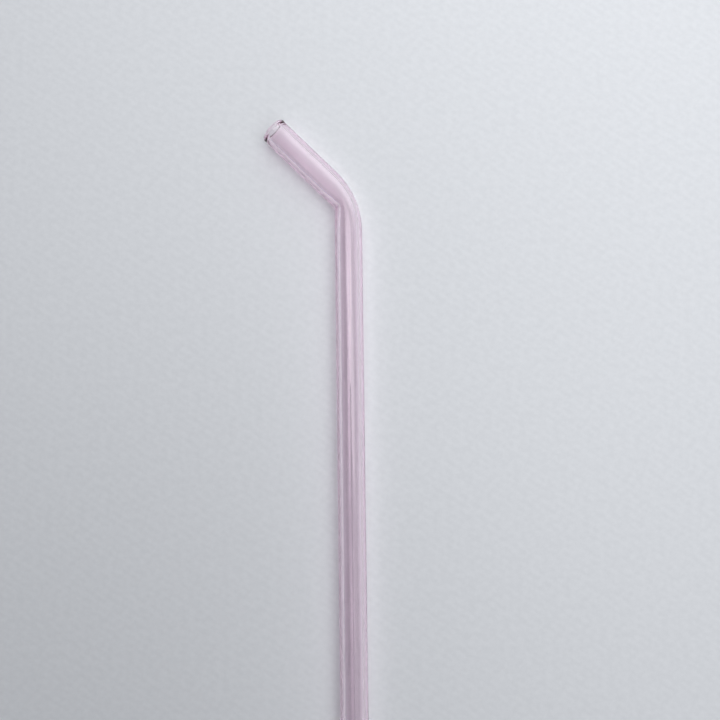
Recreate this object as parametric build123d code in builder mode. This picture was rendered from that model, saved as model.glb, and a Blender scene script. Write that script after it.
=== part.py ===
from build123d import *
import os
from math import cos, hypot, pi, radians, sin

# A bent drinking straw of rigid glass tubing: a long straight leg, one bend and a short mouth arm, all
# one piece. It lies flat on its side. The leg runs along Y with its dipping end at -Y, the mouth arm
# turns off towards -X, and +Z is up. The origin is on the table, under the middle of the straw's box.

# Driving dimensions, in millimetres and degrees.
tube_diameter = 8.0
wall = 1.3
developed_length = 200.0  # along the middle of the tube, from rim to rim
arm_length = 22.75  # the straight part of the mouth arm
bend_angle = 45.0
bend_radius = 20.8  # of the middle of the tube
crease_spread = 2.0  # degrees either side of the bend's middle, where its inside folds sharply
inner_wall_gain = 0.25  # the wall is gathered a little on the inside of the bend
outer_wall_loss = 0.15  # and drawn out a little on the outside
bend_stations = 25  # sections that the bend is lofted through
lip_length = 2.4  # at both ends the flame has gathered the glass into a lip
lip_bead = 0.45  # how far the lip narrows the bore, all round, before its edges are rounded
lip_swell = 0.25  # and how far it stands out of the tube
rim_radius = 0.7  # both edges of each rim are rounded in the flame

# Worked out from them.
tube_radius = tube_diameter / 2
bore_radius = tube_radius - wall
turn = radians(bend_angle)
leg_length = developed_length - arm_length - bend_radius * turn


def section_plane(angle, distance):
    """The plane across the tube at this angle round the bend, its X axis up and its Y axis outwards.
    The straw is drawn with the centre of its bend at the origin."""
    outwards = Vector(cos(angle), sin(angle), 0)
    along = Vector(-sin(angle), cos(angle), 0)
    return Plane(outwards * distance, x_dir=(0, 0, 1), z_dir=along)


def inside_distance(angle):
    """From the centre of the bend to the inside of the tube, which is two straight lines that meet
    in a soft fold at the bend's middle."""
    spread = radians(crease_spread)
    past_straight = hypot(turn / 2, spread) - hypot(angle - turn / 2, spread)
    return (bend_radius - tube_radius) / cos(past_straight)


def bend_section(angle, inner_wall, outer_wall):
    """The middle of the section and half its width, with this much glass left out on each side."""
    inside = inside_distance(angle) + inner_wall
    outside = bend_radius + tube_radius - outer_wall
    return (inside + outside) / 2, (outside - inside) / 2


def flared(start_radius, end_radius):
    """The line of a lip's surface: straight on from the tube, then curving away to the rim."""
    middle = Vector(lip_length / 2, start_radius)
    return Bezier(Vector(0, start_radius), middle, Vector(lip_length, end_radius))


bend_angles = [turn * station / (bend_stations - 1) for station in range(bend_stations)]
leg_start = section_plane(0, bend_radius)
arm_start = section_plane(turn, bend_radius)
leg_lip_start = leg_start.offset(lip_length - leg_length)
arm_lip_start = arm_start.offset(arm_length - lip_length)

with BuildPart() as straw:
    # The outside: the leg, the bend and the mouth arm.
    with BuildSketch(leg_lip_start):
        Circle(tube_radius)
    extrude(amount=leg_length - lip_length)
    # A section that is round must be exactly round, and an ellipse's long radius has to come first.
    for angle in bend_angles:
        distance, half_width = bend_section(angle, 0, 0)
        with BuildSketch(section_plane(angle, distance)):
            Ellipse(tube_radius, min(half_width, tube_radius))
    loft()
    with BuildSketch(arm_start):
        Circle(tube_radius)
    extrude(amount=arm_length - lip_length)

    # The bore, along the same path.
    with BuildSketch(leg_lip_start):
        Circle(bore_radius)
    extrude(amount=leg_length - lip_length, mode=Mode.SUBTRACT)
    for angle in bend_angles:
        gathered = sin(pi * angle / turn) ** 2
        inner_wall = wall + inner_wall_gain * gathered
        outer_wall = wall - outer_wall_loss * gathered
        distance, half_width = bend_section(angle, inner_wall, outer_wall)
        with BuildSketch(section_plane(angle, distance)):
            Ellipse(bore_radius, min(half_width, bore_radius))
    loft(mode=Mode.SUBTRACT)
    with BuildSketch(arm_start):
        Circle(bore_radius)
    extrude(amount=arm_length - lip_length, mode=Mode.SUBTRACT)

    # The lips, each turned about the tube's own axis.
    for lip_start, out in ((leg_lip_start, -1), (arm_lip_start, 1)):
        half_plane = Plane(lip_start.origin, x_dir=lip_start.z_dir * out, z_dir=lip_start.y_dir)
        with BuildSketch(half_plane):
            with BuildLine():
                outer = flared(tube_radius, tube_radius + lip_swell)
                inner = flared(bore_radius, bore_radius - lip_bead)
                Line(outer @ 0, inner @ 0)
                Line(outer @ 1, inner @ 1)
            make_face()
        revolve(axis=Axis(lip_start.origin, lip_start.z_dir))

    # Fire-polished rims.
    leg_rim = straw.faces().sort_by(Axis.Y)[0].edges()
    arm_rim = straw.faces().sort_by(Axis(arm_start.origin, arm_start.z_dir))[-1].edges()
    fillet(leg_rim + arm_rim, radius=rim_radius)

# Stood on the table, with the middle of its box over the origin.
box = straw.part.bounding_box()
placed = Pos(-box.center().X, -box.center().Y, -box.min.Z) * straw.part
placed.label = "straw"

print("leg", round(leg_length, 2), "mm, volume", round(placed.volume, 1), "mm3")
print("centre of the bend", Vector(-box.center().X, -box.center().Y, -box.min.Z))
print("box", placed.bounding_box())

os.makedirs("parts", exist_ok=True)
export_step(placed, "parts/straw.step")
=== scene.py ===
import math

import bmesh
import bpy
from mathutils import Matrix, Vector


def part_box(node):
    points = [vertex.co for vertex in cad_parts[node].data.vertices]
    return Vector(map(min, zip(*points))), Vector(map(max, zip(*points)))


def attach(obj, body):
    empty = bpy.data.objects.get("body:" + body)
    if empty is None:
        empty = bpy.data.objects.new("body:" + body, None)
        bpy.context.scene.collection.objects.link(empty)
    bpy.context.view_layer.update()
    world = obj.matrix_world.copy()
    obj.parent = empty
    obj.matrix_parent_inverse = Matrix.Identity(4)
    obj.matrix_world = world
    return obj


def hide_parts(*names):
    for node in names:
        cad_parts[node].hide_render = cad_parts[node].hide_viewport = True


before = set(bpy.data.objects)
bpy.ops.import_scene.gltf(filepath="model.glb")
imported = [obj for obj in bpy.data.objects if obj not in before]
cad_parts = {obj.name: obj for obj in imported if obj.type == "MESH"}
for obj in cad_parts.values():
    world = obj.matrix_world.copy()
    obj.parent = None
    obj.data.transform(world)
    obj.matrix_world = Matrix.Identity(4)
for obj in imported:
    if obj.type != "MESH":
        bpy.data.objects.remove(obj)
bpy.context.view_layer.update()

mm = 0.001  # the sizes below are in millimetres, Blender's are in metres
scene = bpy.context.scene
low, high = (Vector(corner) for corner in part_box("straw"))

# A bent drinking straw of clear pink glass, lying on its side on a sheet of pale paper.
straw = {
    "name": "bent_glass_tube",
    "radius": 4.0,
    "wall": 1.3,
    "developedLength": 200.0,  # along the middle of the tube, from rim to rim
    "armLength": 22.75,
    "bendAngle": 45.0,
    "bendRadius": 20.8,
    "creaseSpread": 2.0,  # degrees either side of the bend's middle that the fold takes
    "innerWallGain": 0.25,  # the wall gathers on the inside of the bend
    "outerWallLoss": 0.15,  # and is drawn out on the outside
    "rimRadius": 0.66,  # both edges of each rim are rounded in the flame
    "roundingReach": 1.25,  # in rim radii: from a sharp edge to where its rounding starts
    "roundingRoom": 1.3,  # in rim radii: kept free of other edge loops at each end
    "lipBead": 0.6,  # the flame gathers the glass at both ends, inwards
    "lipSwell": 0.20,  # and a little outwards
    "lipLength": 2.5,  # and the lip runs out into the tube over this length
    "roundSteps": 144,
    "lipSteps": 10,
    "legSteps": 48,
    "bendSteps": 60,
    "armSteps": 12,
    "rimSteps": 6,
}


class Signal:  # one output socket, which sums can be written with
    def __init__(self, nodes, socket):
        self.nodes, self.socket = nodes, socket

    def calc(self, operation, *values):
        return self.nodes.add("Math", {"operation": operation}, dict(enumerate(values)), 0)

    def __add__(self, other): return self.calc("ADD", self, other)
    def __radd__(self, other): return self.calc("ADD", other, self)
    def __sub__(self, other): return self.calc("SUBTRACT", self, other)
    def __rsub__(self, other): return self.calc("SUBTRACT", other, self)
    def __mul__(self, other): return self.calc("MULTIPLY", self, other)
    def __rmul__(self, other): return self.calc("MULTIPLY", other, self)
    def __lt__(self, other): return self.calc("LESS_THAN", self, other)
    def cos(self): return self.calc("COSINE", self)
    def sin(self): return self.calc("SINE", self)
    def angle(self, other): return self.calc("ARCTAN2", self, other)
    def atLeast(self, other): return self.calc("MAXIMUM", self, other)
    def atMost(self, other): return self.calc("MINIMUM", self, other)

    def fade(self, start, end):  # 0 at the start, 1 at the end
        return self.nodes.add("MapRange", {"interpolation_type": "SMOOTHSTEP"},
                              {"Value": self, "From Min": start, "From Max": end}, "Result")


class Nodes:
    def __init__(self, owner):
        owner.use_nodes = True
        self.tree = owner.node_tree
        self.tree.nodes.clear()

    def add(self, kind, settings=None, sockets=None, output=None):
        node = self.tree.nodes.new("ShaderNode" + kind)
        for name, value in (settings or {}).items():
            setattr(node, name, value)
        for name, value in (sockets or {}).items():
            if isinstance(value, Signal):
                self.tree.links.new(value.socket, node.inputs[name])
            else:
                node.inputs[name].default_value = value
        return node if output is None else Signal(self, node.outputs[output])


def newObject(name, bm):
    mesh = bpy.data.meshes.new(name)
    bm.to_mesh(mesh)
    bm.free()
    thing = bpy.data.objects.new(name, mesh)
    scene.collection.objects.link(thing)
    return thing


turn = math.radians(straw["bendAngle"])
radius = straw["radius"] * mm
wall = straw["wall"] * mm
bore = radius - wall
bendRadius = straw["bendRadius"] * mm
armLength = straw["armLength"] * mm
legLength = straw["developedLength"] * mm - armLength - bendRadius * turn
armWay = Vector((-math.sin(turn), math.cos(turn), 0))  # from the bend to the mouth
legWay = Vector((0, 1, 0))  # from the dipping end to the bend
reach = (high.z - low.z) / 2  # the lips are the widest part
bendCentre = Vector((high.x - reach - bendRadius, low.y + legLength, low.z + reach))


def sweepTube():
    bm = bmesh.new()
    bmesh.ops.create_circle(bm, segments=straw["roundSteps"], radius=radius)
    bmesh.ops.create_circle(bm, segments=straw["roundSteps"], radius=bore)
    bmesh.ops.bridge_loops(bm, edges=bm.edges[:])
    bmesh.ops.rotate(bm, cent=(0, 0, 0), matrix=Matrix.Rotation(math.pi / 2, 3, "X"), verts=bm.verts[:])
    bmesh.ops.translate(bm, vec=bendCentre + Vector((bendRadius, -legLength, 0)), verts=bm.verts[:])
    lip = straw["lipLength"] * mm
    rim = straw["rimRadius"] * mm * straw["roundingRoom"]
    runs = [
        (1, 0, legWay * rim),
        (straw["lipSteps"], 0, legWay * (lip - rim)),
        (straw["legSteps"], 0, legWay * (legLength - lip)),
        (straw["bendSteps"], turn, Vector()),
        (straw["armSteps"], 0, armWay * (armLength - lip)),
        (straw["lipSteps"], 0, armWay * (lip - rim)),
        (1, 0, armWay * rim),
    ]
    end = bm.verts[:] + bm.edges[:] + bm.faces[:]
    for steps, angle, travel in runs:
        end = bmesh.ops.spin(bm, geom=end, cent=bendCentre, axis=(0, 0, 1), angle=angle, steps=steps,
                             dvec=travel / steps, use_merge=False, use_duplicate=False)["geom_last"]
    return bm


def foldBend(bm):  # the inside of the bend is two straight lines that meet in a soft fold
    spread = math.radians(straw["creaseSpread"])
    for vert in bm.verts:
        spoke = vert.co - bendCentre
        angle = math.atan2(spoke.y, spoke.x)
        if spoke.x < 0 or not 1e-6 < angle < turn - 1e-6:  # not in the bend
            continue
        distance = math.hypot(spoke.x, spoke.y)
        gathered = math.sin(math.pi * angle / turn) ** 2
        lean = math.hypot(turn / 2, spread) - math.hypot(angle - turn / 2, spread)
        inside, outside, size = (bendRadius - radius) / math.cos(lean), bendRadius + radius, radius
        if math.hypot(distance - bendRadius, spoke.z) < (radius + bore) / 2:  # the bore's wall
            inside += wall + straw["innerWallGain"] * mm * gathered
            outside -= wall - straw["outerWallLoss"] * mm * gathered
            size = bore
        moved = (inside + outside) / 2 + (distance - bendRadius) / size * (outside - inside) / 2
        vert.co.xy = bendCentre.xy + spoke.xy * moved / distance


def gatherRims(bm):
    mouth = bendCentre + Vector((math.cos(turn), math.sin(turn), 0)) * bendRadius + armWay * armLength
    foot = bendCentre + Vector((bendRadius, -legLength, 0))
    for rim, inwards in ((mouth, -armWay), (foot, legWay)):
        for vert in bm.verts:
            depth = (vert.co - rim).dot(inwards)
            part = 1 - depth / (straw["lipLength"] * mm)
            if not 0 < part < 1.01:
                continue
            across = vert.co - rim - inwards * depth
            shift = -straw["lipBead"] if across.length < (radius + bore) / 2 else straw["lipSwell"]
            vert.co += across.normalized() * shift * mm * part ** 2
    bm.normal_update()  # the bevel goes by the faces' angles, which have changed


def makeTube():
    bm = sweepTube()
    foldBend(bm)
    gatherRims(bm)
    rims = [edge for edge in bm.edges if edge.calc_face_angle(0) > 1]  # radians, so only the sharp edges
    bmesh.ops.bevel(bm, geom=rims, offset=straw["rimRadius"] * mm * straw["roundingReach"],
                    offset_type="OFFSET", segments=straw["rimSteps"], profile=0.5, affect="EDGES",
                    material=-1)
    bmesh.ops.recalc_face_normals(bm, faces=bm.faces[:])
    for face in bm.faces:
        face.smooth = True
    gaps = sum(not edge.is_manifold for edge in bm.edges)
    glass = round(bm.calc_volume() / mm ** 3)
    print("tube:", len(bm.faces), "faces,", gaps, "open edges,", glass, "mm3 of glass")
    return newObject(straw["name"], bm)


pinkGlass = {
    "refraction": 1.5,
    "tint": (0.90, 0.45, 0.73, 1),  # a colour is absorbed by what it falls short of 1 here,
    "tintDensity": 100.0,  # times this, per metre of glass
    "drawLines": 1.6,  # lines per millimetre round the tube
    "drawLineDepth": 0.002,  # millimetres
    "drawLineStretch": 0.01,  # the lines are a hundred times as long as they are wide
    "waviness": 0.12,  # waves per millimetre, from the drawing and the flame
    "wavinessDepth": 0.01,
    "smudge": 0.012,  # roughness where fingers have been
    "smudges": 0.09,  # patches per millimetre
    "smudgeFade": (0.55, 0.8),  # the noise that a smudge starts and is full at
}


def makeGlass():
    material = bpy.data.materials.new("pink_glass")
    nodes = Nodes(material)
    place = nodes.add("TexCoord").outputs["Object"]
    centred = nodes.add("VectorMath", {"operation": "SUBTRACT"},
                        {0: Signal(nodes, place), 1: bendCentre}, "Vector")
    parts = nodes.add("SeparateXYZ", None, {0: centred})
    x, y, z = (Signal(nodes, socket) for socket in parts.outputs)
    # across follows the tube round its bend, so the lines left by drawing it run along it everywhere
    around = y.angle(x).atLeast(0).atMost(turn)
    across = x * around.cos() + y * around.sin()
    along = y * around.cos() - x * around.sin()
    lined = nodes.add("CombineXYZ", None, {0: across, 1: along * pinkGlass["drawLineStretch"], 2: z},
                      "Vector")
    lines = nodes.add("TexNoise", None, {"Vector": lined, "Scale": pinkGlass["drawLines"] / mm,
                                         "Detail": 1.0, "Roughness": 0.5}, "Fac")
    waves = nodes.add("TexNoise", None, {"Vector": centred, "Scale": pinkGlass["waviness"] / mm,
                                         "Detail": 0.0}, "Fac")
    smudges = nodes.add("TexNoise", None, {"Vector": centred, "Scale": pinkGlass["smudges"] / mm,
                                           "Detail": 3.0}, "Fac")
    height = lines * (pinkGlass["drawLineDepth"] * mm) + waves * (pinkGlass["wavinessDepth"] * mm)
    bump = nodes.add("Bump", None, {"Strength": 1.0, "Distance": 1.0, "Height": height}, "Normal")
    shader = nodes.add("BsdfPrincipled", None, {
        "Base Color": (1, 1, 1, 1),
        "Roughness": smudges.fade(*pinkGlass["smudgeFade"]) * pinkGlass["smudge"],
        "IOR": pinkGlass["refraction"],
        "Transmission Weight": 1.0,
        "Normal": bump,
    }, "BSDF")
    tint = nodes.add("VolumeAbsorption", None, {"Color": pinkGlass["tint"],
                                                "Density": pinkGlass["tintDensity"]}, "Volume")
    nodes.add("OutputMaterial", None, {"Surface": shader, "Volume": tint})
    return material


tube = makeTube()
tube.data.materials.append(makeGlass())
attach(tube, "root")
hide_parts("straw")
print("glass done")


paper = {
    "reach": 3.0,  # metres
    "colour": (0.765, 0.786, 0.818, 1),
    "grainColour": (0.725, 0.746, 0.778, 1),
    "grain": 0.5,  # specks per millimetre
    "grainFade": (0.25, 0.75),  # the noise that a speck starts and is full at
    "grainDepth": 0.01,  # millimetres
    "ribGap": 2.1,  # millimetres; the felt that the paper was pressed on left faint slanting ribs
    "ribSlant": 57.0,  # degrees
    "ribShare": 0.14,
}
backdrop = {
    "colour": (0.66, 0.68, 0.715, 1),
    "fadeStart": 0.16,  # metres from the straw's middle, where the paper starts to run into the backdrop
    "fadeEnd": 0.32,  # and where it has become the backdrop
    "paintedHorizonShade": (0.60, 0.62, 0.655, 1),  # painted shade: the camera sees the backdrop painted a little darker where it turns up, as a studio sweep falls into shade there
    "lift": 14.0,  # degrees of elevation where the painted shade has faded and the backdrop has its own colour again
    "ambient": (0.050, 0.053, 0.065, 1),  # what the room adds to the two lamps
    "bandTop": 28.0,  # degrees above the floor where the backdrop ends, as the glass sees it
    "bandFull": 18.0,  # and where it starts to
}


def seenRays(nodes):  # the camera's own rays, and what the glass shows it, but never light on the paper
    path = nodes.add("LightPath")
    ray = {name: Signal(nodes, path.outputs[name]) for name in
           ("Is Camera Ray", "Is Glossy Ray", "Is Transmission Ray", "Diffuse Depth")}
    inGlass = ray["Is Glossy Ray"].atLeast(ray["Is Transmission Ray"]) * (ray["Diffuse Depth"] < 0.5)
    return ray["Is Camera Ray"], inGlass


def makePaper():
    bm = bmesh.new()
    bmesh.ops.create_grid(bm, x_segments=2, y_segments=2, size=paper["reach"])
    bmesh.ops.translate(bm, vec=(0, 0, low.z), verts=bm.verts[:])
    sheet = newObject("paper", bm)
    material = bpy.data.materials.new("paper")
    sheet.data.materials.append(material)
    nodes = Nodes(material)
    place = Signal(nodes, nodes.add("TexCoord").outputs["Object"])
    grain = nodes.add("TexNoise", None, {"Vector": place, "Scale": paper["grain"] / mm, "Detail": 3.0,
                                         "Roughness": 0.6}, "Fac")
    slant = math.radians(paper["ribSlant"])
    pitch = math.tau / (paper["ribGap"] * mm)
    ribWay = (math.cos(slant) * pitch, math.sin(slant) * pitch, 0)
    ribs = nodes.add("VectorMath", {"operation": "DOT_PRODUCT"}, {0: place, 1: ribWay}, "Value").sin()
    worn = grain.fade(*paper["grainFade"]) + ribs * paper["ribShare"]
    colour = nodes.add("Mix", {"data_type": "RGBA"}, {"Factor": worn.atLeast(0.0).atMost(1.0),
                                                      "A": paper["colour"], "B": paper["grainColour"]}, 2)
    bump = nodes.add("Bump", None, {"Strength": 1.0, "Distance": 1.0,
                                    "Height": grain * (paper["grainDepth"] * mm)}, "Normal")
    lit = nodes.add("BsdfPrincipled", None, {"Base Color": colour, "Roughness": 1.0,
                                             "Specular IOR Level": 0.0, "Normal": bump}, "BSDF")
    camera, inGlass = seenRays(nodes)
    # painted shade: camera rays see the far paper in the darker colour of a sweep's shade
    shadedSweep = nodes.add("Mix", {"data_type": "RGBA"}, {"Factor": camera, "A": backdrop["colour"],
                                                     "B": backdrop["paintedHorizonShade"]}, 2)
    far = nodes.add("Emission", None, {"Color": shadedSweep, "Strength": 1.0}, "Emission")
    distance = nodes.add("VectorMath", {"operation": "LENGTH"}, {0: place}, "Value")
    share = camera.atLeast(inGlass) * distance.fade(backdrop["fadeStart"], backdrop["fadeEnd"])
    seen = nodes.add("MixShader", None, {0: share, 1: lit, 2: far}, 0)
    nodes.add("OutputMaterial", None, {"Surface": seen})


def makeWorld():
    world = bpy.data.worlds.new("studio")
    scene.world = world
    nodes = Nodes(world)
    way = nodes.add("SeparateXYZ", None, {0: Signal(nodes, nodes.add("TexCoord").outputs["Generated"])})
    top, full, lift = (math.sin(math.radians(backdrop[name])) for name in ("bandTop", "bandFull", "lift"))
    height = Signal(nodes, way.outputs["Z"])
    camera, inGlass = seenRays(nodes)
    # painted shade: camera rays see the backdrop darker near the horizon, fading out over the lift
    shadedSweep = nodes.add("Mix", {"data_type": "RGBA"}, {"Factor": camera * (1 - height.fade(0, lift)),
                                                     "A": backdrop["colour"], "B": backdrop["paintedHorizonShade"]}, 2)
    share = camera.atLeast(inGlass * (1 - height.fade(full, top)))
    colour = nodes.add("Mix", {"data_type": "RGBA"}, {"Factor": share, "A": backdrop["ambient"],
                                                      "B": shadedSweep}, 2)
    nodes.add("OutputWorld", None, {"Surface": nodes.add("Background", None, {"Color": colour}, 0)})


makePaper()
makeWorld()
print("paper and backdrop done")

softboxes = [  # degrees round from +X and up, metres and watts
    {"name": "window side", "azimuth": 65.0, "elevation": 52.0, "distance": 0.46,
     "width": 0.60, "height": 0.65, "watts": 2.3},
    {"name": "room side", "azimuth": -35.0, "elevation": 67.0, "distance": 0.70,
     "width": 0.60, "height": 0.60, "watts": 1.65},
]
flag = {"name": "flag", "size": (0.055, 0.35), "place": (0.005, -0.15, 0.23)}  # metres
view = {
    "lens": 39.0,  # on a sensor 36 mm wide
    "place": (23.5, -51.2, 227.3),  # millimetres, from the centre of the bend
    "tilt": 3.3,  # degrees, as the roll is
    "roll": 0.75,
}


def makeLamps():
    for box in softboxes:
        lamp = bpy.data.lights.new(box["name"], "AREA")
        lamp.shape = "RECTANGLE"
        lamp.size, lamp.size_y = box["width"], box["height"]
        lamp.energy = box["watts"]
        azimuth, elevation = math.radians(box["azimuth"]), math.radians(box["elevation"])
        way = Vector((math.cos(elevation) * math.cos(azimuth), math.cos(elevation) * math.sin(azimuth),
                      math.sin(elevation)))
        stand = bpy.data.objects.new(box["name"], lamp)
        stand.location = way * box["distance"]
        stand.rotation_euler = way.to_track_quat("Z", "Y").to_euler()
        stand.visible_camera = False
        scene.collection.objects.link(stand)


def makeFlag():  # a black card over the straw, which gives the glass its dark middle line
    bm = bmesh.new()
    bmesh.ops.create_grid(bm, x_segments=1, y_segments=1, size=0.5)
    bmesh.ops.scale(bm, vec=(*flag["size"], 1), verts=bm.verts[:])
    bmesh.ops.translate(bm, vec=flag["place"], verts=bm.verts[:])
    card = newObject(flag["name"], bm)
    card.visible_camera = False
    material = bpy.data.materials.new("black_card")
    nodes = Nodes(material)
    black = nodes.add("BsdfDiffuse", None, {"Color": (0.02, 0.02, 0.02, 1)}, "BSDF")
    nodes.add("OutputMaterial", None, {"Surface": black})
    card.data.materials.append(material)


def makeCamera():
    lens = bpy.data.cameras.new("camera")
    lens.lens, lens.sensor_width = view["lens"], 36.0
    lens.clip_start, lens.clip_end = 0.01, 20.0
    camera = bpy.data.objects.new("camera", lens)
    camera.location = bendCentre + Vector(view["place"]) * mm
    camera.rotation_euler = (math.radians(view["tilt"]), 0, -math.radians(view["roll"]))
    scene.collection.objects.link(camera)
    scene.camera = camera


makeLamps()
makeFlag()
makeCamera()
scene.view_settings.view_transform = "Standard"
scene.cycles.max_bounces = 32  # light goes round inside the wall of the tube many times
scene.cycles.glossy_bounces = 32
scene.cycles.transmission_bounces = 32
scene.cycles.blur_glossy = 0.0
print("lamps and camera done")
